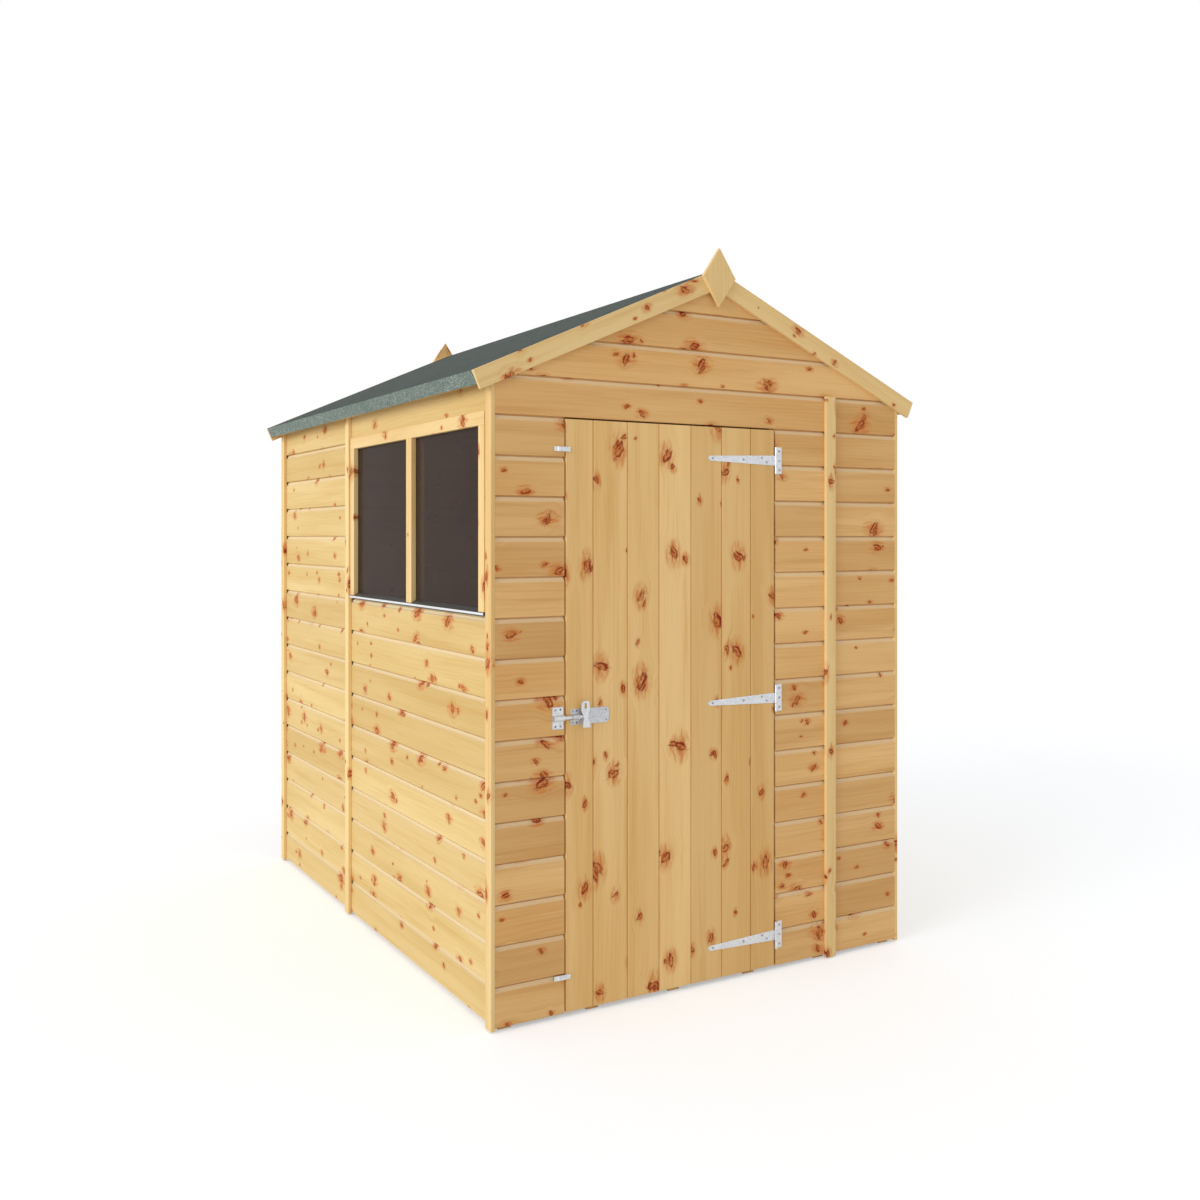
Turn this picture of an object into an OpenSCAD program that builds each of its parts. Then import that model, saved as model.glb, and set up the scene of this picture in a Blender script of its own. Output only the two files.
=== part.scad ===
// Wooden garden shed with an apex roof, a side window and a single door.
// Millimetres. +Z is up, the door gable faces -Y, and the origin is on the ground
// under the middle of the shed.

/* [Shed] */
// Width over the side cladding
shed_w = 1446; // [1300:1:2200]
// Depth over the gable cladding
shed_d = 2024; // [1800:1:3000]
// Height of the roof above the foot of the gable triangle, at the side walls
wall_rise = 17; // [6:0.5:60]
// Slope of the roof in degrees
roof_pitch = 24; // [15:0.5:35]
// Distance from the side cladding to the end of the roof boards
eaves_overhang = 68; // [66:1:120]

/* [Timber] */
// Thickness of the cladding boards
clad_t = 12; // [10:0.5:16]
// Cover height of one cladding board
board_pitch = 110; // [95:0.5:120]
// Section of the square framing timber
frame_t = 28; // [24:1:38]
// Width of the corner, cover and window strips
trim_w = 38; // [32:1:44]
// Thickness of the corner and cover strips
trim_t = 12; // [8:0.5:14]
// Gap between two wall panels, under a cover strip
panel_gap = 2; // [1:0.5:6]

/* [Floor] */
// Width of a floor bearer
bearer_w = 38; // [28:1:60]
// Height of a floor bearer
bearer_h = 38; // [28:1:60]
// Number of floor bearers
bearer_count = 6; // [3:1:8]
// Thickness of the floor boards
deck_t = 12; // [10:0.5:18]
// Set-back of the floor from the outside of the wall frames
floor_inset = 5; // [5:0.5:12]
// Height of the cladding's lower edge above the ground
clad_lift = 12; // [8:1:20]
// Height of the strips' lower ends above the ground
strip_lift = 4; // [0:1:8]

/* [Wall panels] */
// Distance from the left side of the shed to the joint of the two gable panels
gable_joint = 1164; // [1130:1:1250]
// Distance from the front of the shed to the joint of the two side panels
side_joint = 1192; // [1100:1:1400]
// Number of boards up to the top of the doorway
lintel_board_count = 15; // [14:1:16]
// Number of boards from the top of the doorway to the foot of the gable triangle
head_board_count = 1; // [1:1:3]

/* [Door] */
// Distance from the left side of the shed to the doorway
doorway_left = 211.5; // [180:0.5:260]
// Width of the doorway
doorway_w = 740; // [700:1:780]
// Clearance all round the door
door_gap = 5; // [5:0.5:8]
// Height of the door's lower edge above the ground
door_lift = 14; // [12:1:24]
// Height of a ledge on the back of the door
ledge_w = 90; // [70:1:120]
// Thickness of the ledges and braces
ledge_t = 20; // [16:1:24]
// Distance from the door's long edges to the ends of the ledges
ledge_inset = 40; // [30:1:60]
// Width of a diagonal brace
brace_w = 70; // [50:1:90]
// Side of the square door stop beads
stop_w = 12; // [8:1:16]

/* [Hinges] */
// Distance of the outer hinges from the door's lower and upper edges
hinge_inset = 93; // [70:1:160]
// Distance of the hinge pins in front of the cladding
pin_offset = 5; // [5:0.5:7]
// Radius of the hinge pins
pin_r = 2; // [1.5:0.25:2.5]
// Running clearance round the hinge pins
pin_clearance = 0.1; // [0.05:0.05:0.3]
// Outer radius of the hinge knuckles
knuckle_r = 4.5; // [4:0.25:4.75]
// Thickness of the hinge plates
hinge_t = 2; // [1.5:0.25:2.5]
// Height of a hinge flap
flap_h = 82; // [70:1:110]
// Width of a hinge flap, from the pin
flap_w = 24; // [18:1:36]
// Length of a hinge strap, from the pin to its tip
strap_l = 254; // [200:1:330]
// Height of a strap at its root
strap_root = 31; // [26:1:40]
// Height of a strap at its tip
strap_tip = 15; // [10:1:20]
// Length of the pointed end of a strap
strap_point = 9; // [6:1:14]
// End clearance of a strap's knuckle
knuckle_gap = 0.5; // [0.25:0.25:1]

/* [Bolt] */
// Height of the bolt above the ground
bolt_z = 830; // [720:1:900]
// Radius of the bolt rod
rod_r = 4.75; // [4:0.25:5.25]
// Distance of the rod's axis in front of the door
rod_offset = 8; // [7.5:0.25:9]
// Clearance round the rod in its guides
rod_clearance = 0.5; // [0.3:0.1:0.8]
// Thickness of the bolt's plates
plate_t = 2; // [1.5:0.25:2.25]
// Length of the plate beyond the drawn handle
plate_end = 26.5; // [10:0.5:40]
// Height of the plate on the door
plate_h = 44; // [38:1:52]
// Corner cut of the plate
plate_chamfer = 7; // [4:0.5:10]
// Distance from the door's edge to the plate
plate_inset = 13.5; // [10:0.5:20]
// Length of the guide on the door plate
guide_l = 23; // [18:1:32]
// Distance from the plate's end to the guide
guide_inset = 2; // [1:0.5:12]
// Wall thickness of the guide and the keep
guide_wall = 2.5; // [1.5:0.25:3]
// Width of the keep on the wall
keep_l = 34; // [26:1:40]
// Height of the keep
keep_h = 61; // [54:1:70]
// Distance from the doorway to the keep
keep_inset = 4.5; // [3:0.5:10]
// Thickness of the bolt handle
handle_t = 3; // [2:0.25:3.5]
// Width of the handle's lobes
handle_w = 26; // [24:0.5:30]
// Width of the handle's waist
waist_w = 12; // [10:0.5:16]
// Height of the handle's eye above the rod
eye_h = 44; // [38:0.5:50]
// Depth of the handle's grip below the rod
grip_h = 31; // [22:0.5:36]
// Length of the handle's eye plate
eye_l = 27; // [23:0.5:32]
// Radius of the eye plate's upper corners
eye_r = 9; // [4:0.5:10]
// Lean of the grip away from the door in degrees
grip_lean = 14; // [0:1:25]
// Width of the padlock slot
slot_w = 7.5; // [7:0.25:10]
// Length of the padlock slot
slot_l = 15; // [12:0.5:18]
// Travel of the bolt
bolt_travel = 44; // [40:1:52]

/* [Turn buttons] */
// Distance of the lower turn button from the door's lower edge
button_low = 99; // [60:1:160]
// Distance of the upper turn button from the door's upper edge
button_high = 84; // [60:1:160]
// Distance from the doorway to the button screws
button_inset = 8; // [7.5:0.5:12]
// Length of a turn button
button_l = 51; // [44:1:60]
// Width of a turn button
button_w = 13; // [10:0.5:14]
// Thickness of a turn button
button_t = 2.5; // [1.5:0.25:3]
// Gap behind a turn button
button_gap = 1; // [0.5:0.25:1.5]
// Height of a turn button's raised middle
button_rise = 1.5; // [1:0.25:2]
// Radius of a button screw's shank
screw_r = 2.5; // [2:0.25:3]
// Running clearance round a button screw
screw_clearance = 0.1; // [0.05:0.05:0.3]
// Radius of a button screw's head
screw_head_r = 4.5; // [4:0.25:5.5]
// Height of a button screw's head
screw_head_h = 2; // [1.5:0.25:3]

/* [Window] */
// Distance from the front of the shed to the window
window_front = 56; // [50:1:90]
// Distance from the window to the panel joint
window_back = 24; // [22:1:60]
// Number of boards below the window
sill_board_count = 10; // [8:1:12]
// Height of the window's head strip above the top of the doorway
window_rise = 12; // [0:1:40]
// Thickness of the glazing
glass_t = 3; // [2:0.25:4]
// Edge clearance of the glazing
glass_gap = 2; // [1:0.25:3]
// Distance of the window strips in front of the cladding
window_proud = 7; // [4:0.5:10]
// Width of the mullion between the two panes
mullion_w = 44; // [32:1:56]
// Distance of the sill's nose in front of the cladding
sill_nose = 10; // [8:0.5:14]
// Height of the sill's nose
nose_h = 6; // [4:0.5:8]
// Height of the sill at the glazing
sill_h = 22; // [20:0.5:30]
// Distance of the nose's underside above the lower boards
nose_lift = 5; // [3:0.5:7]

/* [Roof] */
// Thickness of the roof boards
roof_board_t = 11; // [8:0.5:15]
// Thickness of the roofing felt
felt_t = 2; // [1.5:0.25:4]
// Height of the ridge beam
ridge_beam_h = 44; // [28:1:60]
// Width of the bargeboards
barge_w = 55; // [45:1:80]
// Thickness of the bargeboards
barge_t = 12; // [10:0.5:16]
// Width of the finials
finial_w = 117; // [90:1:140]
// Height of the finials
finial_h = 174; // [130:1:210]
// Thickness of the finials
finial_t = 12; // [10:0.5:16]
// Distance of a finial's centre below the ridge
finial_drop = 26; // [10:1:60]

/* [Hidden] */
$fn = 48;

// Clearance where a square-cut top meets the slope of the roof
seat = 0.2;
// Overlap that carries a cut past a surface
cut = 1;

// Faces of the walls: outside of the cladding, outside and inside of the frames
hx = shed_w / 2;
hy = shed_d / 2;
fx = hx - clad_t;
fy = hy - clad_t;
ix = fx - frame_t;
iy = fy - frame_t;

// Levels
deck_z = bearer_h + deck_t;
lintel_z = clad_lift + lintel_board_count * board_pitch;
gable_z = lintel_z + head_board_count * board_pitch;
sill_z = clad_lift + sill_board_count * board_pitch;
head_z = lintel_z + window_rise;

// Roof: u runs down the slope from the ridge, v stands square to it
roof_t = felt_t + roof_board_t;
ridge_h = gable_z + wall_rise + hx * tan(roof_pitch) + roof_t / cos(roof_pitch);
eave_u = (hx + eaves_overhang) / cos(roof_pitch);
seat_t = roof_t + seat;
lining_t = seat_t + frame_t;
function slope_point(u, v) = [
    u * cos(roof_pitch) + v * sin(roof_pitch),
    ridge_h - u * sin(roof_pitch) + v * cos(roof_pitch)
];
function roof_seat(x) = ridge_h - abs(x) * tan(roof_pitch) - seat_t / cos(roof_pitch);
function roof_layer(v_top, v_bottom, u_end) = [
    [0, ridge_h - v_top / cos(roof_pitch)],
    slope_point(u_end, -v_top),
    slope_point(u_end, -v_bottom),
    [0, ridge_h - v_bottom / cos(roof_pitch)]
];
plate_top = roof_seat(fx);
tie_top = roof_seat(fx) - frame_t / cos(roof_pitch);
ridge_beam_top = roof_seat(frame_t / 2);
strip_top = roof_seat(hx + trim_t);

// Panel joints and openings
joint_x = gable_joint - hx;
joint_y = side_joint - hy;
opening_l = doorway_left - hx;
opening_r = opening_l + doorway_w;
door_l = opening_l + door_gap;
door_r = opening_r - door_gap;
door_top = lintel_z - door_gap;
window_y0 = window_front - hy;
window_y1 = joint_y - window_back;
window_mid = (window_y0 + window_y1) / 2;
half_gap = panel_gap / 2;

// Hinge line
hinge_x = (door_r + opening_r) / 2;
hinge_y = -hy - pin_offset;
hinge_heights = [
    door_lift + hinge_inset, (door_lift + door_top) / 2, door_top - hinge_inset
];

// Bolt, along X
plate_x = door_l + plate_inset;
guide_x = plate_x + guide_inset;
keep_x = opening_l - keep_inset - keep_l;
rod_y = -hy - rod_offset;
bore_r = rod_r + rod_clearance;
guide_r = bore_r + guide_wall;
rod_x0 = keep_x + guide_wall;
handle_x = guide_x + guide_l + guide_wall + handle_w / 2;
plate_l = handle_x + handle_w / 2 + bolt_travel + plate_end - plate_x;
handle_y = rod_y - rod_r;
button_x = opening_l - button_inset;
button_heights = [door_lift + button_low, door_top - button_high];

// A box between two opposite corners
module block(low, high) {
    translate(low) cube(high - low);
}

// A profile in X and Z, carried along Y
module along_y(y0, y1) {
    translate([0, y1, 0]) rotate([90, 0, 0]) linear_extrude(y1 - y0) children();
}

module front_and_back() {
    children();
    mirror([0, 1, 0]) children();
}

module left_and_right() {
    children();
    mirror([1, 0, 0]) children();
}

// Floor
module floor_bearers() color("peru") {
    pitch = (2 * (fx - floor_inset) - bearer_w) / (bearer_count - 1);
    for (i = [0 : bearer_count - 1])
        translate([-fx + floor_inset + i * pitch, 0, 0])
            block([0, -fy + floor_inset, 0], [bearer_w, fy - floor_inset, bearer_h]);
}

module floor_deck() color("burlywood")
    block(
        [-fx + floor_inset, -fy + floor_inset, bearer_h],
        [fx - floor_inset, fy - floor_inset, deck_z]
    );

// Wall frames
gable_stud_top = tie_top - frame_t;
side_stud_top = plate_top - frame_t;
mid_rail_z = (deck_z + lintel_z) / 2;
front_stud_x = [
    -fx, opening_l - frame_t, opening_r,
    joint_x - half_gap - frame_t, joint_x + half_gap, fx - frame_t
];
back_stud_x = [
    -fx, (joint_x - fx - frame_t) / 2,
    joint_x - half_gap - frame_t, joint_x + half_gap, fx - frame_t
];
left_stud_y = [
    -iy, window_mid - frame_t / 2, joint_y - half_gap - frame_t, joint_y + half_gap,
    (joint_y + iy - frame_t) / 2, iy - frame_t
];
right_stud_y = [
    -iy, (joint_y - iy - frame_t) / 2, joint_y - half_gap - frame_t, joint_y + half_gap,
    (joint_y + iy - frame_t) / 2, iy - frame_t
];

// Studs of a gable wall, with the post that carries the ridge beam
module gable_studs(positions) color("tan") {
    for (x = positions)
        block([x, -fy, deck_z], [x + frame_t, -iy, gable_stud_top]);
    block([-frame_t / 2, -fy, tie_top], [frame_t / 2, -iy, ridge_beam_top - ridge_beam_h]);
}

// One rail between two neighbouring studs of a gable wall
module gable_rail(positions, bay, z)
    block(
        [positions[bay] + frame_t, -fy, z],
        [positions[bay + 1], -iy, z + frame_t]
    );

module gable_tie()
    block([-fx, -fy, gable_stud_top], [fx, -iy, tie_top]);

module front_studs() gable_studs(front_stud_x);

module front_rails() color("tan") {
    for (bay = [0, 2, 4], z = [deck_z, mid_rail_z])
        gable_rail(front_stud_x, bay, z);
    gable_rail(front_stud_x, 1, lintel_z);
    gable_tie();
}

module back_studs() mirror([0, 1, 0]) gable_studs(back_stud_x);

module back_rails() color("tan") mirror([0, 1, 0]) {
    for (bay = [0, 1, 3], z = [deck_z, mid_rail_z])
        gable_rail(back_stud_x, bay, z);
    gable_tie();
}

module side_studs(positions) color("tan")
    for (y = positions)
        block([-fx, y, deck_z], [-ix, y + frame_t, side_stud_top]);

// One rail between two neighbouring studs of a side wall
module side_rail(positions, bay, z)
    block(
        [-fx, positions[bay] + frame_t, z],
        [-ix, positions[bay + 1], z + frame_t]
    );

// Top plates of the two panels of a side wall
module side_plates() {
    block([-fx, -iy, side_stud_top], [-ix, joint_y - half_gap, plate_top]);
    block([-fx, joint_y + half_gap, side_stud_top], [-ix, iy, plate_top]);
}

module left_studs() side_studs(left_stud_y);

module left_rails() color("tan") {
    for (bay = [0, 1], z = [deck_z, sill_z - frame_t, head_z - frame_t])
        side_rail(left_stud_y, bay, z);
    for (bay = [3, 4], z = [deck_z, mid_rail_z])
        side_rail(left_stud_y, bay, z);
    side_plates();
}

module right_studs() mirror([1, 0, 0]) side_studs(right_stud_y);

module right_rails() color("tan") mirror([1, 0, 0]) {
    for (bay = [0, 1, 3, 4], z = [deck_z, mid_rail_z])
        side_rail(right_stud_y, bay, z);
    side_plates();
}

module gable_rafters() color("tan")
    front_and_back() left_and_right() along_y(-fy, -iy) polygon([
        [frame_t / 2, ridge_beam_top],
        [fx, plate_top],
        [fx, tie_top],
        [frame_t / 2, ridge_beam_top - frame_t / cos(roof_pitch)]
    ]);

// Cladding
// Outline of a gable wall, from the lower edge of the boards to the roof
module gable_wall()
    along_y(-hy, -fy) polygon([
        [-hx, clad_lift], [hx, clad_lift], [hx, roof_seat(hx)],
        [0, roof_seat(0)], [-hx, roof_seat(hx)]
    ]);

// The part of a gable wall between two places and two heights
module gable_panel(x0, x1, z0, z1)
    intersection() {
        gable_wall();
        block([x0, -hy - cut, z0], [x1, -fy + cut, z1]);
    }

module front_cladding() color("sandybrown") {
    gable_panel(-hx, opening_l, clad_lift, lintel_z);
    gable_panel(opening_r, joint_x - half_gap, clad_lift, lintel_z);
    gable_panel(joint_x + half_gap, hx, clad_lift, gable_z);
}

module front_lintel_cladding() color("sandybrown")
    gable_panel(-hx, joint_x - half_gap, lintel_z, gable_z);

module gable_cladding() color("sandybrown")
    front_and_back() gable_panel(-hx, hx, gable_z, ridge_h);

module back_cladding() color("sandybrown") mirror([0, 1, 0]) {
    gable_panel(-hx, joint_x - half_gap, clad_lift, gable_z);
    gable_panel(joint_x + half_gap, hx, clad_lift, gable_z);
}

module side_panel(y0, y1)
    block([-hx, y0, clad_lift], [-fx, y1, roof_seat(hx)]);

module left_front_cladding() color("navajowhite")
    difference() {
        side_panel(-fy, joint_y - half_gap);
        block([-hx - cut, window_y0, sill_z], [-fx + cut, window_y1, head_z]);
    }

module left_rear_cladding() color("navajowhite") side_panel(joint_y + half_gap, fy);

module right_cladding() color("navajowhite") mirror([1, 0, 0]) {
    side_panel(-fy, joint_y - half_gap);
    side_panel(joint_y + half_gap, fy);
}

// Strips
module corner_strips() color("wheat")
    left_and_right() front_and_back()
        block([-hx - trim_t, -hy, strip_lift], [-hx, -hy + trim_w, strip_top]);

module gable_cover_strips() color("wheat")
    front_and_back()
        block(
            [joint_x - trim_w / 2, -hy - trim_t, strip_lift],
            [joint_x + trim_w / 2, -hy, gable_z]
        );

module side_cover_strips() color("wheat")
    left_and_right()
        block(
            [-hx - trim_t, joint_y - trim_w / 2, strip_lift],
            [-hx, joint_y + trim_w / 2, strip_top]
        );

// Beads on the door posts, behind the edges of the door boards
module door_stops() color("wheat") {
    stop_y = -fy + door_gap;
    for (x = [opening_l, opening_r - stop_w])
        block([x, stop_y, deck_z], [x + stop_w, stop_y + stop_w, lintel_z]);
}

// Window in the left wall; distances outwards are from the frame's outside face
strip_out = clad_t + window_proud;
nose_out = clad_t + sill_nose;
sill_fall = (sill_h - nose_lift - nose_h) / (nose_out - glass_t);
module on_left_wall(y0, y1)
    translate([-fx, 0, 0]) mirror([1, 0, 0]) along_y(y0, y1) children();

module window_sill() color("dimgray")
    on_left_wall(window_y0, window_y1) polygon([
        [glass_t, sill_z],
        [clad_t, sill_z],
        [clad_t, sill_z + nose_lift],
        [nose_out, sill_z + nose_lift],
        [nose_out, sill_z + nose_lift + nose_h],
        [glass_t, sill_z + sill_h]
    ]);

module window_head_strip() color("wheat")
    block(
        [-fx - strip_out, window_y0, head_z - trim_w],
        [-fx - glass_t, window_y1, head_z]
    );

// An upright strip of the window, standing on the slope of the sill
module window_upright(y0, y1)
    on_left_wall(y0, y1) polygon([
        [glass_t, sill_z + sill_h],
        [strip_out, sill_z + sill_h - (strip_out - glass_t) * sill_fall],
        [strip_out, head_z - trim_w],
        [glass_t, head_z - trim_w]
    ]);

module window_uprights() color("wheat") {
    window_upright(window_y0, window_y0 + trim_w);
    window_upright(window_mid - mullion_w / 2, window_mid + mullion_w / 2);
    window_upright(window_y1 - trim_w, window_y1);
}

module window_panes() color([0.25, 0.22, 0.2, 0.6]) {
    pane_z = [sill_z + glass_gap, head_z - glass_gap];
    for (y = [
        [window_y0 + glass_gap, window_mid - glass_gap / 2],
        [window_mid + glass_gap / 2, window_y1 - glass_gap]
    ])
        block([-fx - glass_t, y[0], pane_z[0]], [-fx, y[1], pane_z[1]]);
}

// Roof
module right_roof_board() color("burlywood")
    along_y(-hy, hy) polygon(roof_layer(felt_t, roof_t, eave_u));

module left_roof_board() mirror([1, 0, 0]) right_roof_board();

// Felt over the boards, turned down over the eaves rail
module right_roof_felt() color("darkslategray")
    along_y(-hy, hy) polygon([
        [0, ridge_h],
        slope_point(eave_u + felt_t, 0),
        slope_point(eave_u + felt_t, -lining_t),
        slope_point(eave_u, -lining_t),
        slope_point(eave_u, -felt_t),
        [0, ridge_h - felt_t / cos(roof_pitch)]
    ]);

module left_roof_felt() mirror([1, 0, 0]) right_roof_felt();

// A square rail under the roof boards, between two distances down the slope
module slope_rail(u0, u1, y_end)
    along_y(-y_end, y_end) polygon([
        slope_point(u0, -seat_t), slope_point(u1, -seat_t),
        slope_point(u1, -lining_t), slope_point(u0, -lining_t)
    ]);

module roof_purlins() color("tan") {
    purlin_u = fx / cos(roof_pitch) / 2;
    left_and_right() slope_rail(purlin_u - frame_t / 2, purlin_u + frame_t / 2, iy);
    block(
        [-frame_t / 2, -fy, ridge_beam_top - ridge_beam_h],
        [frame_t / 2, fy, ridge_beam_top]
    );
}

module eaves_rails() color("tan")
    left_and_right() slope_rail(eave_u - frame_t, eave_u, hy);

module right_bargeboards() color("goldenrod")
    front_and_back() along_y(-hy - barge_t, -hy)
        polygon(roof_layer(0, barge_w, eave_u + felt_t));

module left_bargeboards() mirror([1, 0, 0]) right_bargeboards();

module finials() color("goldenrod")
    front_and_back() along_y(-hy - barge_t - finial_t, -hy - barge_t)
        translate([0, ridge_h - finial_drop]) polygon([
            [0, finial_h / 2], [-finial_w / 2, 0], [0, -finial_h / 2], [finial_w / 2, 0]
        ]);

// Hinges
// Heights of a hinge's knuckles, from the middle of the hinge
knuckle_half = strap_root / 2;
module knuckle(z0, z1)
    translate([hinge_x, hinge_y, z0]) cylinder(r = knuckle_r, h = z1 - z0);

// The flap on the wall, with its two knuckles and the pin
module hinge_flap() {
    free_half = knuckle_half + knuckle_gap;
    knuckle(-flap_h / 2, -free_half);
    knuckle(free_half, flap_h / 2);
    translate([hinge_x, hinge_y, -flap_h / 2]) cylinder(r = pin_r, h = flap_h);
    difference() {
        block([hinge_x, -hy - hinge_t, -flap_h / 2], [hinge_x + flap_w, -hy, flap_h / 2]);
        block(
            [hinge_x - cut, -hy - hinge_t - cut, -free_half],
            [hinge_x + knuckle_r + knuckle_gap, -hy + cut, free_half]
        );
    }
}

// The strap on the door, with the middle knuckle
module hinge_strap() {
    point_x = hinge_x - strap_l;
    difference() {
        union() {
            knuckle(-knuckle_half, knuckle_half);
            along_y(-hy - hinge_t, -hy) polygon([
                [hinge_x, -strap_root / 2], [hinge_x, strap_root / 2],
                [point_x + strap_point, strap_tip / 2], [point_x, 0],
                [point_x + strap_point, -strap_tip / 2]
            ]);
        }
        translate([hinge_x, hinge_y, -knuckle_half - cut])
            cylinder(r = pin_r + pin_clearance, h = strap_root + 2 * cut);
    }
}

module hinge_flaps() color("lightsteelblue")
    for (z = hinge_heights) translate([0, 0, z]) hinge_flap();

module hinge_straps() color("lightsteelblue")
    for (z = hinge_heights) translate([0, 0, z]) hinge_strap();

// Door
module door_boards() color("orange")
    block([door_l, -hy, door_lift], [door_r, -fy, door_top]);

module door_ledges() color("tan")
    for (z = hinge_heights)
        block(
            [door_l + ledge_inset, -fy, z - ledge_w / 2],
            [door_r - ledge_inset, -fy + ledge_t, z + ledge_w / 2]
        );

// A brace rises from the hinge side of one ledge to the free side of the next
module door_brace(z0, z1) {
    run = door_r - door_l - 2 * ledge_inset;
    slope = atan2(z1 - z0, brace_w - run);
    intersection() {
        block([door_l + ledge_inset, -fy, z0], [door_r - ledge_inset, -fy + ledge_t, z1]);
        translate([(door_l + door_r) / 2, -fy + ledge_t / 2, (z0 + z1) / 2])
            rotate([0, -slope, 0])
                cube([2 * (run + z1 - z0), 2 * ledge_t, brace_w], center = true);
    }
}

module door_braces() color("tan")
    for (i = [0, 1])
        door_brace(hinge_heights[i] + ledge_w / 2, hinge_heights[i + 1] - ledge_w / 2);

// Bolt
// A raised guide with a bore for the rod, standing on its plate
module rod_guide(x0, x1)
    difference() {
        union() {
            translate([x0, rod_y, bolt_z]) rotate([0, 90, 0])
                cylinder(r = guide_r, h = x1 - x0);
            block([x0, rod_y, bolt_z - guide_r], [x1, -hy, bolt_z + guide_r]);
        }
        translate([x0 - cut, rod_y, bolt_z]) rotate([0, 90, 0])
            cylinder(r = bore_r, h = x1 - x0 + 2 * cut);
        block([x0 - cut, -hy, bolt_z - guide_r - cut], [x1 + cut, -fy, bolt_z + guide_r + cut]);
    }

module bolt_plate() color("lightsteelblue")
    difference() {
        union() {
            along_y(-hy - plate_t, -hy) translate([plate_x, bolt_z]) polygon([
                [0, -plate_h / 2], [plate_l - plate_chamfer, -plate_h / 2],
                [plate_l, plate_chamfer - plate_h / 2], [plate_l, plate_h / 2 - plate_chamfer],
                [plate_l - plate_chamfer, plate_h / 2], [0, plate_h / 2]
            ]);
            rod_guide(guide_x, guide_x + guide_l);
        }
        translate([guide_x - cut, rod_y, bolt_z]) rotate([0, 90, 0])
            cylinder(r = bore_r, h = guide_l + 2 * cut);
    }

module bolt_keep() color("lightsteelblue")
    difference() {
        union() {
            block(
                [keep_x, -hy - plate_t, bolt_z - keep_h / 2],
                [keep_x + keep_l, -hy, bolt_z + keep_h / 2]
            );
            rod_guide(keep_x, keep_x + keep_l);
        }
        translate([keep_x - cut, rod_y, bolt_z]) rotate([0, 90, 0])
            cylinder(r = bore_r, h = keep_l + 2 * cut);
    }

module bolt_rod() color("silver")
    translate([rod_x0, rod_y, bolt_z]) rotate([0, 90, 0])
        cylinder(r = rod_r, h = handle_x + handle_w / 2 - rod_x0);

// Upper lobe of the handle: a plate with round corners and a padlock slot
module handle_eye() {
    lobe = handle_w / 2;
    waist = waist_w / 2;
    corner_z = eye_h - eye_r;
    slot_z = eye_h - eye_l / 2;
    neck = handle_t / 2;
    difference() {
        union() {
            along_y(-handle_t, 0) polygon([
                [-waist, -neck], [waist, -neck], [waist, 0],
                [lobe, eye_h - eye_l], [lobe, corner_z],
                [lobe - eye_r, eye_h], [eye_r - lobe, eye_h],
                [-lobe, corner_z], [-lobe, eye_h - eye_l], [-waist, 0]
            ]);
            for (x = [eye_r - lobe, lobe - eye_r])
                translate([x, 0, corner_z]) rotate([90, 0, 0]) cylinder(r = eye_r, h = handle_t);
        }
        block(
            [-slot_w / 2, -handle_t - cut, slot_z - slot_l / 2],
            [slot_w / 2, cut, slot_z + slot_l / 2]
        );
    }
}

// Lower lobe of the handle: a flared grip, rooted in the neck, that leans away from the door
module handle_grip() {
    lobe = handle_w / 2;
    root = handle_t / 4;
    top = waist_w / 2 - root;
    translate([0, -root, root]) rotate([-grip_lean, 0, 0]) mirror([0, 0, 1])
        along_y(-handle_t, 0) polygon([[-top, 0], [top, 0], [lobe, grip_h], [-lobe, grip_h]]);
}

// Waisted handle in front of the rod
module bolt_handle() color("silver")
    translate([handle_x, handle_y, bolt_z]) {
        handle_eye();
        handle_grip();
    }

// Turn buttons
module turn_button(z) color("lightsteelblue")
    translate([button_x, -hy - button_gap, z]) difference() {
        button_strip();
        rotate([90, 0, 0]) translate([0, 0, -cut])
            cylinder(r = screw_r + screw_clearance, h = button_t + button_rise + 2 * cut);
    }

// A strip with a raised middle, as a profile carried over the button's width
module button_strip() {
    half = button_l / 2;
    rise_half = half / 2;
    translate([0, 0, -button_w / 2]) linear_extrude(button_w) polygon([
        [-half, 0], [half, 0], [half, -button_t],
        [rise_half + button_rise, -button_t], [rise_half, -button_t - button_rise],
        [-rise_half, -button_t - button_rise], [-rise_half - button_rise, -button_t],
        [-half, -button_t]
    ]);
}

module turn_button_lower() turn_button(button_heights[0]);

module turn_button_upper() turn_button(button_heights[1]);

module button_screws() color("silver")
    for (z = button_heights) translate([button_x, -hy, z]) rotate([90, 0, 0]) {
        head_z = button_gap + button_t + button_rise + screw_clearance;
        cylinder(r = screw_r, h = head_z + screw_head_h);
        translate([0, 0, head_z]) cylinder(r = screw_head_r, h = screw_head_h);
    }

floor_bearers();
floor_deck();
front_studs();
front_rails();
back_studs();
back_rails();
left_studs();
left_rails();
right_studs();
right_rails();
gable_rafters();
front_cladding();
front_lintel_cladding();
gable_cladding();
back_cladding();
left_front_cladding();
left_rear_cladding();
right_cladding();
corner_strips();
gable_cover_strips();
side_cover_strips();
door_stops();
window_head_strip();
window_uprights();
window_panes();
window_sill();
left_roof_board();
right_roof_board();
left_roof_felt();
right_roof_felt();
roof_purlins();
eaves_rails();
left_bargeboards();
right_bargeboards();
finials();
hinge_flaps();
bolt_keep();
button_screws();
door_boards();
door_ledges();
door_braces();
hinge_straps();
bolt_plate();
bolt_rod();
bolt_handle();
turn_button_lower();
turn_button_upper();
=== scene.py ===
"""Wooden garden shed: board-by-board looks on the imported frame, in metres."""
import math
import random

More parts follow.
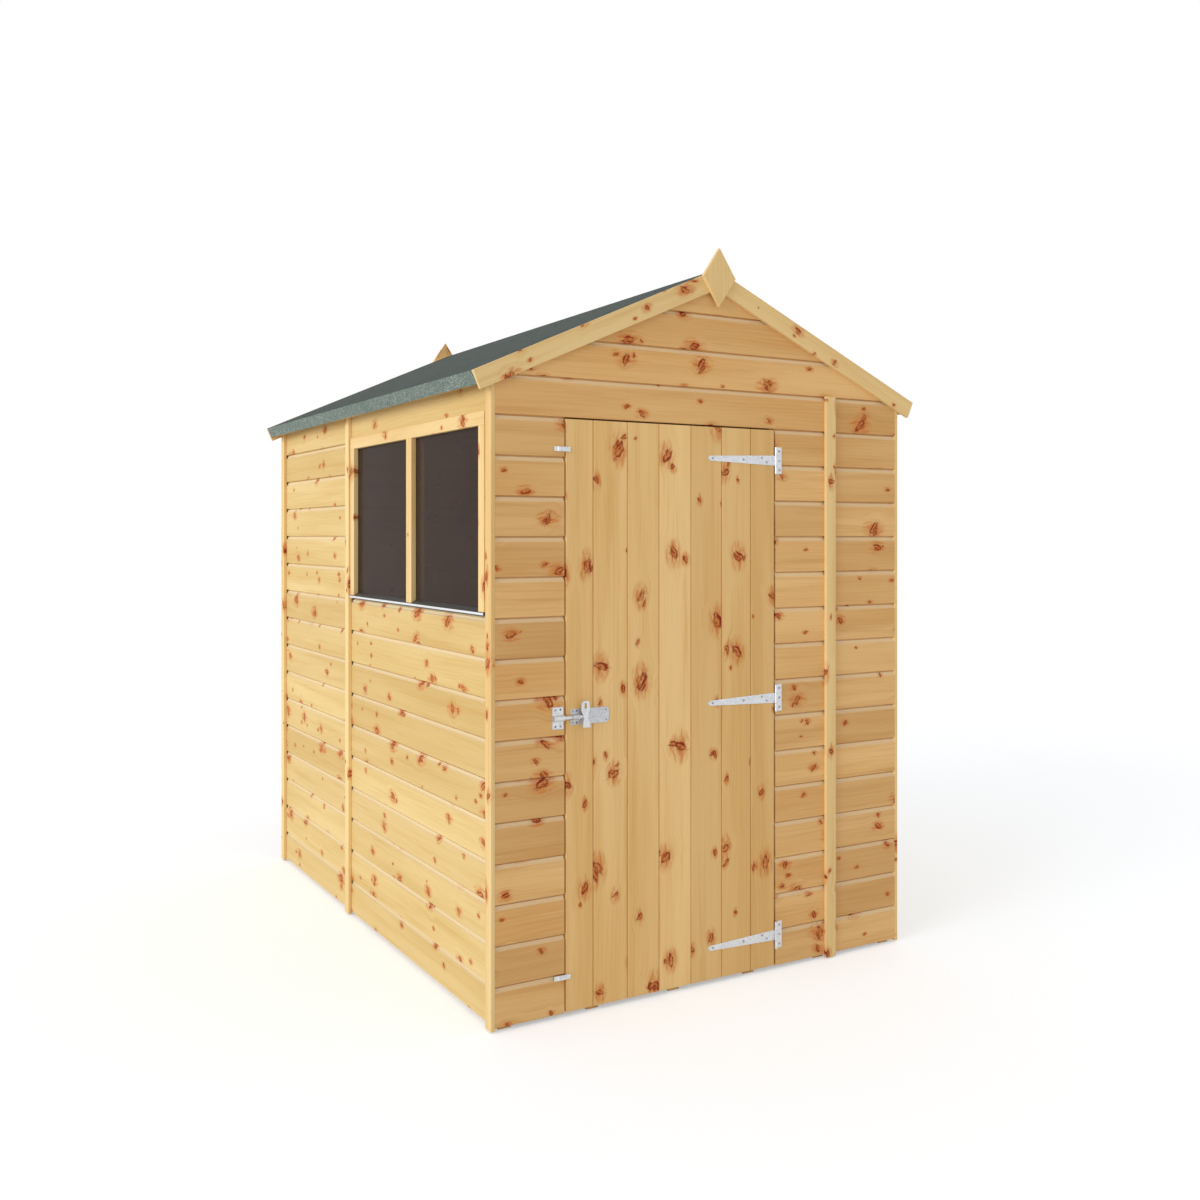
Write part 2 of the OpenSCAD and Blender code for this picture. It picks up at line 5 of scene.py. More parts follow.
import bmesh
import bpy
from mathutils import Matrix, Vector


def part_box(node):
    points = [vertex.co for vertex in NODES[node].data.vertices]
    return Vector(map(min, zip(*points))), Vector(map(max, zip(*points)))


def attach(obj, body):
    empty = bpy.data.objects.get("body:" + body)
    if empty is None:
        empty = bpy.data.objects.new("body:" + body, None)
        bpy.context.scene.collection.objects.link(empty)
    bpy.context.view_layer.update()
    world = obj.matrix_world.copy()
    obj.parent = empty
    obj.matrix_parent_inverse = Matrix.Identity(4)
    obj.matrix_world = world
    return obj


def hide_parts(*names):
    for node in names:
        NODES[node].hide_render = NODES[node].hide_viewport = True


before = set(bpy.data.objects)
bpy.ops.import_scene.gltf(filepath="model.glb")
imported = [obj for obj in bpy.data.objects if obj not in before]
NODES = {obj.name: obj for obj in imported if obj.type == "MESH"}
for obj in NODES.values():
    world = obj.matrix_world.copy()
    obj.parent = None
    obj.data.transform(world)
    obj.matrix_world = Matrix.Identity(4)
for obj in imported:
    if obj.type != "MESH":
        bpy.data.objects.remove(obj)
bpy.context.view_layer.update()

X = Vector((1, 0, 0))
Y = Vector((0, 1, 0))
Z = Vector((0, 0, 1))

# Wall boards: cover height, thickness, the outside of the wall frames from the middle, a number of
# courses that no wall reaches, and a height too small for a board
BOARD_PITCH = 0.110
CLAD_T = 0.012
FRAME_X = 0.711
FRAME_Y = 1.0
MOST_COURSES = 40
SLIVER = 1e-4
# Whole boards under the window, and the height where the boards over it start
WINDOW_COURSE = 10
WINDOW_TOP = 1.674
ROOF_PITCH = math.radians(24)

# Door boards: the joints from left to right, each board's shade, and a V-joint's half width,
# half gap and depth
DOOR_EDGES = (-0.419, -0.306, -0.198, -0.086, 0.025, 0.133)
DOOR_TONES = (0.55, 0.7, 0.65, 1.0, 0.2, 0.35, 0.1)
DOOR_VEE = (0.0028, 0.0004, 0.0030)

# Width of eased edges
TIMBER_EDGE = 0.0012
SHEET_EDGE = 0.0006
FELT_EDGE = 0.0008
METAL_EDGE = 0.0004

# Felt: spacing of its cuts, the hem that waves, the plain ends, and half the wave's height
FELT_STEP = 0.06
FELT_HEM = 0.003
FELT_PLAIN = 0.01
FELT_WAVE = 0.0015
# Width of the sill's nose, which takes a painted highlight
NOSE = 0.0012

# Thickness of the hinge and bolt plates, screws as (radius, height) and empty holes as a radius
PLATE_T = 0.002
HINGE_SCREW = (0.0036, 0.0011)
BOLT_SCREW = (0.0034, 0.0011)
HOLE_R = 0.0024
# The pin's middle from the straps' right end, and places of fixings, across and up from the hinge pin,
# the keep's left edge, or the plate's right or left edge
PIN_INSET = 0.0045
STRAP_SCREWS = ((-0.236, 0.0), (-0.122, 0.0), (-0.052, 0.007), (-0.034, -0.006))
FLAP_SCREWS = ((0.015, 0.029), (0.015, 0.0), (0.015, -0.029))
KEEP_FIXINGS = ((0.009, 0.023, "screw"), (0.025, 0.023, "hole"), (0.009, -0.023, "hole"),
                (0.025, -0.023, "screw"))
PLATE_RIGHT_FIXINGS = ((-0.010, 0.014, "screw"), (-0.010, -0.014, "screw"))
PLATE_LEFT_FIXINGS = ((0.006, 0.0165, "screw"), (0.006, -0.0165, "screw"),
                      (0.019, 0.0165, "hole"), (0.019, -0.0165, "hole"))

# Rod guides: height and run of their pressed feet, where the feet meet the legs, and where they start
# inside the legs
FLARE_H = 0.0058
FLARE_RUN = 0.0062
FLARE_Z = 0.0070
FLARE_ROOT = 0.0062
# Ends of the feet, in from the keep's edges and from the plate's left edge
KEEP_FLARE = 0.0004
PLATE_FLARE = (0.0024, 0.0246)
# Plate's dimple: in from the right edge, half length and half height
DIMPLE = (0.026, 0.0105, 0.0065)
# Rings of the dimple and of an empty hole's rolled rim, as (share of the reach, height)
DIMPLE_RINGS = ((1.0, 0.0), (0.9, 0.0004), (0.74, 0.0007), (0.58, 0.0005), (0.4, 0.0001), (0.2, 0.00006))
HOLE_RINGS = ((1.35, 0.0), (1.25, 0.00025), (1.0, 0.0003), (0.92, 0.00012))
# Handle's rivet: radius, height, and the handle's thickness that carries it
RIVET = (0.0052, 0.0018)
HANDLE_T = 0.003

# Light: the sky's strength and tint on the object, and the sun's strength, softness and direction
SKY = 0.68
SKY_TINT = (1.0, 0.95, 0.89, 1)
SUN = 1.5
SUN_SOFT = math.radians(38)
SUN_FROM = Vector((-0.9, -0.17, 0.18))
# Floor: colour, glow where it is seen, half size, drop, and the distances between which it fades away
FLOOR_PALE = (0.84, 0.9, 0.98, 1)
FLOOR_GLOW = (0.94, 0.95, 0.96, 1)
FLOOR_GLOW_STRENGTH = 0.39
FLOOR_HALF = 40
FLOOR_DROP = 0.0005
FLOOR_FADE = (2.2, 6.5)
# Camera, fitted to the edges of the two walls in the photograph
LENS = 36.24
SENSOR = 36.0
SHIFT_Y = -0.0538
CAMERA_PLACE = (-2.1132, -3.9469, 1.3341)
CAMERA_TURN = math.radians(-30.31)


def srgb(r, g, b):
    """A colour from its 8-bit screen values."""
    return tuple(((v / 255 + 0.055) / 1.055) ** 2.4 for v in (r, g, b)) + (1.0,)


class Nodes:
    """Short calls for a material's node tree."""

    def __init__(self, name):
        """A new material with its shader."""
        self.material = bpy.data.materials.new(name)
        self.material.use_nodes = True
        self.tree = self.material.node_tree
        self.shader = self.tree.nodes["Principled BSDF"]

    def put(self, socket, value):
        """Links a socket or sets its value."""
        if isinstance(value, bpy.types.NodeSocket):
            self.tree.links.new(value, socket)
        else:
            socket.default_value = value

    def add(self, kind, inputs=None, **settings):
        """A new node with its settings and inputs."""
        node = self.tree.nodes.new("ShaderNode" + kind)
        for key, value in settings.items():
            setattr(node, key, value)
        for key, value in (inputs or {}).items():
            self.put(node.inputs[key], value)
        return node

    def math(self, operation, a, b=0.0, c=0.0):
        return self.add("Math", {0: a, 1: b, 2: c}, operation=operation).outputs[0]

    def vector(self, operation, a, b=(0, 0, 0)):
        node = self.add("VectorMath", {0: a, 1: b}, operation=operation)
        return node.outputs["Value" if operation == "LENGTH" else "Vector"]

    def scale(self, vector, factor):
        return self.add("VectorMath", {0: vector, 3: factor}, operation="SCALE").outputs[0]

    def span(self, value, low, high, to_low=0.0, to_high=1.0, smooth=True):
        """One range of values carried to another, clamped at its ends."""
        kind = "SMOOTHSTEP" if smooth else "LINEAR"
        return self.add("MapRange", {0: value, 1: low, 2: high, 3: to_low, 4: to_high},
                        interpolation_type=kind).outputs[0]

    def mix(self, factor, a, b):
        return self.add("Mix", {0: factor, 6: a, 7: b}, data_type="RGBA").outputs[2]

    def noise(self, vector, scale=1.0, detail=2.0, rough=0.5, warp=0.0):
        return self.add("TexNoise", {"Vector": vector, "Scale": scale, "Detail": detail,
                                     "Roughness": rough, "Distortion": warp}).outputs["Fac"]

    def attribute(self, name, output):
        return self.add("Attribute", attribute_name=name).outputs[output]

    def bump(self, height, distance, strength):
        """Gives the shader a bumpy surface."""
        node = self.add("Bump", {"Height": height, "Distance": distance, "Strength": strength})
        self.put(self.shader.inputs["Normal"], node.outputs[0])

    def set(self, **values):
        """Sets the shader's sockets and gives the material."""
        for key, value in values.items():
            self.put(self.shader.inputs[key.replace("_", " ")], value)
        return self.material


# Knots, their hearts and the stain round them, and a pale colour for fibres and for the painted
# highlight in the planed scoop of a board
KNOT = srgb(138, 32, 2)
HEART = srgb(212, 134, 64)
GLOW = srgb(206, 110, 34)
FIBRE_AND_SCOOP_HIGHLIGHT = srgb(240, 222, 186)


def knots(n, grain, crumple, lick, cell, share, small, large):
    """Masks for scattered slanted ovals: ring, dark side, heart, streaks, blush, eye and push.

    cell is a knot's cell along and across the board, share the part of the cells that have one, and
    small and large the least and greatest radius.
    """
    place = n.vector("MULTIPLY", grain, (1 / cell[0], 1 / cell[1], 1 / cell[1]))
    cells = n.add("TexVoronoi", {"Vector": place, "Scale": 1.0, "Randomness": 0.65},
                  voronoi_dimensions="2D", feature="F1")
    chance = n.add("SeparateColor", {0: cells.outputs["Color"]})
    offset = n.vector("MULTIPLY", n.vector("SUBTRACT", place, cells.outputs["Position"]),
                      (cell[0], cell[1], 0))
    size = n.span(chance.outputs[0], 1 - share, 1.0, small, large, smooth=False)
    bulge = n.scale(crumple, n.math("MULTIPLY", size, 1.5))
    slant = n.span(chance.outputs[1], 0.0, 1.0, -1.3, 1.3, smooth=False)
    turned = n.add("VectorRotate", {"Vector": n.vector("ADD", offset, bulge), "Angle": slant},
                   rotation_type="Z_AXIS").outputs[0]
    oval = n.vector("MULTIPLY", turned, (0.72, 1.35, 0))
    reach = n.math("DIVIDE", n.vector("LENGTH", oval), size)
    side = n.math("DIVIDE", n.add("SeparateXYZ", {0: oval}).outputs[1], size)
    there = n.math("GREATER_THAN", chance.outputs[0], 1 - share)
    worn = n.span(lick, 0.38, 0.6, 0.15, 1.0)
    ring = n.math("MULTIPLY", n.span(reach, 0.7, 0.9), n.span(reach, 0.98, 1.22, 1.0, 0.0))
    ring = n.math("MULTIPLY", ring, worn)
    dark = n.math("MULTIPLY", n.span(reach, 0.95, 1.35, 1.0, 0.0), n.span(side, 0.25, 0.7))
    dark = n.math("MULTIPLY", dark, n.span(chance.outputs[2], 0.4, 0.7))
    heart = n.span(reach, 0.8, 1.15, 1.0, 0.0)
    lines = n.noise(n.vector("MULTIPLY", turned, (26.0, 150.0, 0)), 1.0, 2.0, 0.55)
    streaks = n.math("MULTIPLY", n.span(lines, 0.5, 0.62), n.span(reach, 0.8, 2.0, 1.0, 0.0))
    far = n.math("DIVIDE", n.vector("LENGTH", n.vector("MULTIPLY", offset, (0.6, 0.95, 0))), size)
    blush = n.math("MULTIPLY", n.math("POWER", n.span(far, 0.3, 2.5, 1.0, 0.0, smooth=False), 1.3),
                   n.span(lick, 0.36, 0.6, 0.25, 1.0))
    push = n.math("MULTIPLY", n.add("SeparateXYZ", {0: offset}).outputs[1],
                  n.span(reach, 0.8, 5.0, 0.7, 0.0))
    eye = n.math("MULTIPLY", heart, n.span(n.math("SINE", n.math("MULTIPLY", reach, 11.0)), 0.0, 1.0))
    masks = (ring, dark, heart, streaks, blush, eye, push)
    return [n.math("MULTIPLY", mask, there) for mask in masks]


def wood(name, light, deep, late, knot, big, little):
    """Planed softwood: streaks and rings along the board that bend round its knots."""
    n = Nodes(name)
    grain = n.attribute("grain", "Vector")
    tone = n.attribute("tone", "Fac")
    # Knots, twins that stray from them, and specks
    crumple = n.add("TexNoise", {"Vector": grain, "Scale": 46.0, "Detail": 1.5, "Roughness": 0.5})
    crumple = n.vector("SUBTRACT", crumple.outputs["Color"], (0.5, 0.5, 0.5))
    lick = n.noise(n.vector("MULTIPLY", grain, (36.0, 110.0, 110.0)), 1.0, 2.0)
    *masks, push = knots(n, grain, crumple, lick, big[:2], *big[2:])
    stray = n.add("TexNoise", {"Vector": grain, "Scale": 2.5, "Detail": 0.0}).outputs["Color"]
    stray = n.vector("MULTIPLY", n.vector("SUBTRACT", stray, (0.5, 0.5, 0.5)), (0.2, 0.17, 0))
    beside = n.vector("ADD", grain, stray)
    twin = knots(n, beside, crumple, lick, big[:2], 0.55 * big[2], 0.5 * big[3], 0.66 * big[4])
    apart = n.vector("ADD", grain, (3.7, 1.9, 0))
    *specks, push2 = knots(n, apart, crumple, lick, little[:2], *little[2:])
    masks = [n.math("MAXIMUM", n.math("MAXIMUM", a, b), c) for a, b, c in zip(masks, twin, specks)]
    edge, dark, heart, streaks, blush, eye = masks
    # Grain pushed aside by the knots and specks
    parts = n.add("SeparateXYZ", {0: grain})
    across = n.math("SUBTRACT", n.math("SUBTRACT", parts.outputs[1], push), push2)
    line = n.add("CombineXYZ", {0: parts.outputs[0], 1: across, 2: parts.outputs[2]}).outputs[0]
    fibre = n.noise(n.vector("MULTIPLY", line, (7.0, 420.0, 420.0)), 1.0, 3.0, 0.6)
    streak = n.noise(n.vector("MULTIPLY", line, (1.4, 46.0, 46.0)), 1.0, 4.0, 0.62, 0.4)
    broad = n.noise(n.vector("MULTIPLY", line, (0.9, 9.0, 9.0)), 1.0, 2.0)
    swirl = n.noise(n.vector("MULTIPLY", line, (1.1, 7.0, 7.0)), 1.0, 1.0)
    phase = n.math("MULTIPLY_ADD", across, 520.0, n.math("MULTIPLY", swirl, 40.0))
    ring = n.math("POWER", n.math("MULTIPLY_ADD", n.math("SINE", phase), 0.5, 0.5), 2.6)
    # Early and late wood, fibres, the board's own shade and a painted highlight in the scoop
    colour = n.mix(n.span(broad, 0.32, 0.70), light, deep)
    colour = n.mix(n.math("MULTIPLY", n.span(streak, 0.46, 0.76), 0.42), colour, late)
    lines = n.math("MULTIPLY", ring, n.span(broad, 0.35, 0.65))
    colour = n.mix(n.math("MULTIPLY", lines, 0.16), colour, late)
    colour = n.mix(n.math("MULTIPLY", n.span(fibre, 0.5, 0.8), 0.26), colour, late)
    colour = n.mix(n.span(fibre, 0.2, 0.46, 0.3, 0.0), colour, FIBRE_AND_SCOOP_HIGHLIGHT)
    colour = n.mix(n.span(tone, 0.0, 1.0, 0.3, 0.0, smooth=False), colour, late)
    shade = n.math("MULTIPLY_ADD", tone, 0.08, 0.98)
    colour = n.scale(colour, shade)
    # Painted highlight: the scoop's band is made pale as if its curve caught the light
    colour = n.mix(n.math("MULTIPLY", n.attribute("scoop", "Fac"), 0.62), colour, FIBRE_AND_SCOOP_HIGHLIGHT)
    # Stain, heart and dark edge of each knot
    colour = n.mix(n.math("MULTIPLY", blush, 0.95), colour, GLOW)
    licks = n.math("MULTIPLY", ring, n.span(blush, 0.02, 0.3))
    colour = n.mix(n.math("MULTIPLY", licks, 0.5), colour, GLOW)
    colour = n.mix(n.math("MULTIPLY", heart, 0.62), colour, HEART)
    colour = n.mix(n.math("MULTIPLY", streaks, 0.75), colour, knot)
    colour = n.mix(n.math("MULTIPLY", eye, 0.42), colour, knot)
    colour = n.mix(n.math("MULTIPLY", edge, 0.96), colour, knot)
    colour = n.mix(n.math("MULTIPLY", dark, 0.92), colour, knot)
    n.bump(n.noise(n.vector("MULTIPLY", grain, (7.0, 300.0, 300.0)), 1.0, 2.0), 0.0005, 0.5)
    gloss = n.math("MULTIPLY_ADD", streak, 0.16, 0.52)
    return n.set(Base_Color=colour, Roughness=gloss, Specular_IOR_Level=0.22)


def strand_board(name):
    """Pressed wood flakes that lie across each other, for the roof's boards and the floor."""
    n = Nodes(name)
    spot = n.attribute("grain", "Vector")
    colour = srgb(205, 166, 110)
    height = None
    for turn, (low, high) in ((0.35, (srgb(196, 152, 94), srgb(222, 186, 130))),
                              (1.25, (srgb(186, 140, 84), srgb(214, 174, 116))),
                              (2.30, (srgb(200, 158, 100), srgb(228, 194, 140)))):
        turned = n.add("Mapping", {"Vector": spot, "Rotation": (0, 0, turn),
                                   "Scale": (15.0, 72.0, 72.0)})
        flakes = n.add("TexVoronoi", {"Vector": turned.outputs[0], "Scale": 1.0},
                       voronoi_dimensions="2D", feature="F1")
        tint = n.add("SeparateColor", {0: flakes.outputs["Color"]})
        there = n.math("GREATER_THAN", tint.outputs[2], 0.55)
        flake = n.mix(tint.outputs[0], low, high)
        lines = n.noise(n.vector("MULTIPLY", turned.outputs[0], (0.6, 9.0, 9.0)), 1.0, 2.0)
        flake = n.mix(n.math("MULTIPLY", lines, 0.35), flake, srgb(160, 114, 64))
        edge = n.span(flakes.outputs["Distance"], 0.5, 0.75, 0.0, 0.35)
        flake = n.mix(edge, flake, srgb(132, 90, 48))
        colour = n.mix(there, colour, flake)
        lift = n.math("MULTIPLY", there, tint.outputs[1])
        height = lift if height is None else n.math("MAXIMUM", height, lift)
    n.bump(height, 0.0007, 0.5)
    return n.set(Base_Color=colour, Roughness=n.math("MULTIPLY_ADD", height, 0.15, 0.6))


def felt(name, dark, pale, bright):
    """Mineral roofing felt: a dark sheet bedded with paler granules."""
    n = Nodes(name)
    spot = n.add("TexCoord").outputs["Object"]
    grit = n.add("TexVoronoi", {"Vector": spot, "Scale": 400.0}, feature="F1")
    tint = n.add("SeparateColor", {0: grit.outputs["Color"]})
    cloud = n.noise(spot, 4.0, 4.0, 0.6)
    patch = n.noise(spot, 60.0, 2.0)
    colour = n.mix(n.span(tint.outputs[0], 0.1, 0.9), dark, pale)
    colour = n.mix(n.span(tint.outputs[1], 0.82, 0.92), colour, bright)
    colour = n.mix(n.math("MULTIPLY", n.span(cloud, 0.35, 0.7), 0.4), colour, dark)
    colour = n.mix(n.math("MULTIPLY", patch, 0.15), colour, pale)
    n.bump(grit.outputs["Distance"], 0.0012, 0.8)
    return n.set(Base_Color=colour, Roughness=n.math("MULTIPLY_ADD", tint.outputs[2], 0.15, 0.8))


def steel(name, low, high, dull):
    """Zinc-plated steel with a faint spangle and rubbed patches."""
    n = Nodes(name)
    spot = n.add("TexCoord").outputs["Object"]
    spangle = n.add("TexVoronoi", {"Vector": spot, "Scale": 170.0}, feature="F1")
    tint = n.add("SeparateColor", {0: spangle.outputs["Color"]})
    haze = n.noise(spot, 55.0, 3.0)
    colour = n.mix(tint.outputs[0], low, high)
    colour = n.mix(n.math("MULTIPLY", haze, 0.14), colour, dull)
    n.bump(n.noise(spot, 900.0, 2.0), 0.0002, 0.35)
    rough = n.math("MULTIPLY_ADD", tint.outputs[1], 0.04, 0.36)
    rough = n.math("ADD", n.math("MULTIPLY", haze, 0.08), rough)
    return n.set(Base_Color=colour, Roughness=rough, Metallic=0.75)


def coated_metal(name):
    """Grey folded flashing under the window, with a brushed surface."""
    n = Nodes(name)
    spot = n.add("TexCoord").outputs["Object"]
    brush = n.noise(n.vector("MULTIPLY", spot, (900.0, 6.0, 900.0)), 1.0, 3.0)
    haze = n.noise(spot, 18.0, 3.0)
    colour = n.mix(n.math("MULTIPLY", brush, 0.5), srgb(70, 73, 75), srgb(104, 107, 109))
    colour = n.mix(n.math("MULTIPLY", haze, 0.4), colour, srgb(58, 60, 62))
    n.bump(brush, 0.0002, 0.4)
    return n.set(Base_Color=colour, Roughness=n.math("MULTIPLY_ADD", haze, 0.2, 0.3), Metallic=0.6)


def bright_metal(name):
    """Mill-finished aluminium edge, drawn along its length, made near white as a painted highlight."""
    n = Nodes(name)
    spot = n.add("TexCoord").outputs["Object"]
    drawn = n.noise(n.vector("MULTIPLY", spot, (1200.0, 5.0, 1200.0)), 1.0, 3.0)
    colour = n.mix(drawn, srgb(214, 217, 219), srgb(246, 247, 248))
    n.bump(drawn, 0.0001, 0.4)
    return n.set(Base_Color=colour, Roughness=n.math("MULTIPLY_ADD", drawn, 0.15, 0.32), Metallic=0.5)


def pane(name):
    """Clear acrylic glazing, dim from the dark inside, with a faint film of dust."""
    n = Nodes(name)
    spot = n.add("TexCoord").outputs["Object"]
    dust = n.noise(spot, 6.0, 4.0, 0.6)
    fine = n.noise(spot, 240.0, 2.0)
    # Dim brown painted shade that stands for the dark inside behind the pane
    colour = n.mix(dust, srgb(68, 54, 47), srgb(80, 66, 59))
    rough = n.math("ADD", n.math("MULTIPLY", dust, 0.10), n.math("MULTIPLY_ADD", fine, 0.04, 0.03))
    return n.set(Base_Color=colour, Roughness=rough, Alpha=0.45, Specular_IOR_Level=0.05)


def painted_hole_shade(name):
    """Painted shade on the floors of screw recesses, and on empty holes the brown of bare wood darkened
    by painted shade.
    """
    n = Nodes(name)
    spot = n.add("TexCoord").outputs["Object"]
    shade_mottle = n.noise(spot, 800.0, 2.0)
    colour = n.mix(shade_mottle, srgb(48, 30, 17), srgb(84, 56, 33))
    return n.set(Base_Color=colour, Roughness=n.math("MULTIPLY_ADD", shade_mottle, 0.2, 0.75))


# Early wood, its deeper patches, late wood and knots
FRONT_PINE = dict(light=srgb(235, 193, 131), deep=srgb(222, 173, 109), late=srgb(192, 138, 76),
                  knot=KNOT)
SIDE_PINE = dict(light=srgb(230, 204, 144), deep=srgb(218, 189, 124), late=srgb(200, 156, 84),
                 knot=srgb(150, 58, 4))
TRIM_PINE = dict(light=srgb(240, 213, 155), deep=srgb(232, 198, 137), late=srgb(210, 164, 96),
                 knot=KNOT)
PALE_PINE = dict(light=srgb(241, 206, 144), deep=srgb(231, 190, 125), late=srgb(209, 157, 85),
                 knot=KNOT)
FRAME_PINE = dict(light=srgb(228, 196, 142), deep=srgb(212, 170, 110), late=srgb(190, 140, 82),
                  knot=srgb(146, 62, 30))
# Cell length and width, share of cells with a knot, least and greatest radius
BOARD_KNOTS = dict(big=(0.24, 0.10, 0.58, 0.0055, 0.0145), little=(0.13, 0.07, 0.24, 0.003, 0.006))
MATERIALS = {
    "cladding": wood("cladding_pine", **BOARD_KNOTS, **FRONT_PINE),
    "side_cladding": wood("side_cladding_pine", **BOARD_KNOTS, **SIDE_PINE),
    "door": wood("door_pine", big=(0.29, 0.105, 0.66, 0.006, 0.0165),
                 little=(0.15, 0.08, 0.28, 0.003, 0.007), **PALE_PINE),
    "trim": wood("trim_pine", big=(0.21, 0.06, 0.6, 0.006, 0.012),
                 little=(0.12, 0.05, 0.25, 0.002, 0.0045), **TRIM_PINE),
    "framing": wood("framing_pine", big=(0.30, 0.06, 0.55, 0.004, 0.010),
                    little=(0.15, 0.06, 0.25, 0.002, 0.004), **FRAME_PINE),
    "sheet_board": strand_board("strand_board"),
    "roof_felt": felt("mineral_felt", srgb(32, 44, 40), srgb(56, 70, 64), srgb(88, 101, 95)),
    # A paler copy of the felt for the turned-down edge: painted light on faces that turn to the side
    "felt_drop_painted_light": felt("mineral_felt_edge_painted_light", srgb(80, 97, 90), srgb(132, 148, 141), srgb(182, 194, 187)),
    "glazing": pane("acrylic_pane"),
    "sill": coated_metal("grey_flashing"),
    "nose": bright_metal("nose_painted_highlight"),
    "galvanised": steel("zinc_plate", srgb(208, 211, 215), srgb(226, 228, 231), srgb(186, 189, 193)),
    # The bolt's plate takes a darker copy of the zinc: painted shade
    "plate": steel("plate_zinc_painted_shade", srgb(186, 189, 193), srgb(206, 208, 212), srgb(164, 167, 171)),
    "screw": steel("screw_zinc", srgb(158, 160, 163), srgb(186, 188, 191), srgb(134, 136, 139)),
    # Painted shade for recess floors and empty holes
    "hole": painted_hole_shade("hole_painted_shade"),
}


def layers(bm):
    """The mesh's grain coordinates, shade and the mark of the scoop's painted highlight, made where they
    are missing.
    """
    grain = bm.verts.layers.float_vector.get("grain") or bm.verts.layers.float_vector.new("grain")
    tone = bm.verts.layers.float.get("tone") or bm.verts.layers.float.new("tone")
    scoop = bm.verts.layers.float.get("scoop") or bm.verts.layers.float.new("scoop")
    eased_layer(bm)
    return grain, tone, scoop


def eased_layer(bm):
    """Marks the narrow faces of rounded edges."""
    return bm.faces.layers.int.get("eased") or bm.faces.layers.int.new("eased")


def stamp(bm, centre, along, across, depth, tone, seed):
    """Writes one board's grain coordinates, offset so that no two boards match."""
    grain_layer, tone_layer, _ = layers(bm)
    shift = Vector((seed.uniform(0, 90), seed.uniform(0, 90), seed.uniform(0, 9)))
    for vert in bm.verts:
        d = vert.co - centre
        vert[grain_layer] = shift + Vector((d.dot(along), d.dot(across), d.dot(depth)))
        vert[tone_layer] = tone


def cut(bm, point, normal):
    """Takes away what lies beyond a plane and closes the cut."""
    geometry = bm.verts[:] + bm.edges[:] + bm.faces[:]
    bmesh.ops.bisect_plane(bm, geom=geometry, dist=1e-6, plane_co=point, plane_no=normal,
                           clear_outer=True)
    rim = [edge for edge in bm.edges if edge.is_boundary]
    if rim:
        bmesh.ops.edgenet_fill(bm, edges=rim)


def merge(target, source):
    """Adds one mesh to another and frees it."""
    layers(target)
    layers(source)
    mesh = bpy.data.meshes.new("part")
    source.to_mesh(mesh)
    source.free()
    target.from_mesh(mesh)
    bpy.data.meshes.remove(mesh)


def soften(bm):
    """Smooth faces with crisp edges where the surface turns by more than 35 degrees."""
    limit = math.radians(35)
    eased = eased_layer(bm)
    for face in bm.faces:
        face.smooth = True
    for edge in bm.edges:
        sides = edge.link_faces
        edge.smooth = (len(sides) == 2 and edge.calc_face_angle(0.0) < limit
                       and sides[0][eased] == sides[1][eased])


def finish_piece(name, bm, materials, body, replaced):
    """Makes a mesh into a piece that rides on a body and stands for its nodes."""
    bmesh.ops.recalc_face_normals(bm, faces=bm.faces[:])
    soften(bm)
    mesh = bpy.data.meshes.new(name)
    bm.to_mesh(mesh)
    bm.free()
    for material in materials:
        mesh.materials.append(MATERIALS[material])
    piece = bpy.data.objects.new(name, mesh)
    bpy.context.scene.collection.objects.link(piece)
    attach(piece, body)
    if replaced:
        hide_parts(*replaced)


def solids(node):
    """The node's solids as separate meshes with flat faces, in a steady order."""
    whole = bmesh.new()
    whole.from_mesh(NODES[node].data)
    bmesh.ops.remove_doubles(whole, verts=whole.verts[:], dist=1e-5)
    bmesh.ops.dissolve_limit(whole, angle_limit=0.01, verts=whole.verts[:], edges=whole.edges[:])
    whole.verts.index_update()
    whole.faces.index_update()
    seen = set()
    groups = []
    for start in whole.verts:
        if start in seen:
            continue
        group, todo = [], [start]
        seen.add(start)
        while todo:
            vert = todo.pop()
            group.append(vert)
            for edge in vert.link_edges:
                other = edge.other_vert(vert)
                if other not in seen:
                    seen.add(other)
                    todo.append(other)
        groups.append(group)
    result = []
    for group in groups:
        part = bmesh.new()
        copies = {vert: part.verts.new(vert.co) for vert in group}
        faces = {face for vert in group for face in vert.link_faces}
        for face in sorted(faces, key=lambda f: f.index):
            part.faces.new([copies[vert] for vert in face.verts])
        result.append(part)
    whole.free()

    def order(part):
        low = box_of(part)[0]
        return (round(low.x, 4), round(low.y, 4), round(low.z, 4))
    return sorted(result, key=order)


def box_of(bm):
    """The mesh's lowest and highest corners."""
    low = Vector(min(v.co[i] for v in bm.verts) for i in range(3))
    high = Vector(max(v.co[i] for v in bm.verts) for i in range(3))
    return low, high


def directions(bm):
    """Along the longest edge, across the widest face, and through it."""
    longest = max(bm.edges, key=lambda e: e.calc_length())
    along = (longest.verts[1].co - longest.verts[0].co).normalized()
    faces = [f for f in bm.faces if abs(f.normal.dot(along)) < 0.2]
    depth = max(faces or bm.faces, key=lambda f: f.calc_area()).normal.copy()
    depth = (depth - along * depth.dot(along)).normalized()
    return along, depth.cross(along), depth


def round_edges(bm, width):
    """Rounds the edges where the surface turns by more than 25 degrees."""
    limit = math.radians(25)
    eased = eased_layer(bm)
    edges = [e for e in bm.edges if len(e.link_faces) == 2 and e.calc_face_angle(0.0) > limit]
    made = bmesh.ops.bevel(bm, geom=edges, offset=width, segments=2, profile=0.5, affect="EDGES",
                           clamp_overlap=True)
    for face in made["faces"]:
        face[eased] = 1


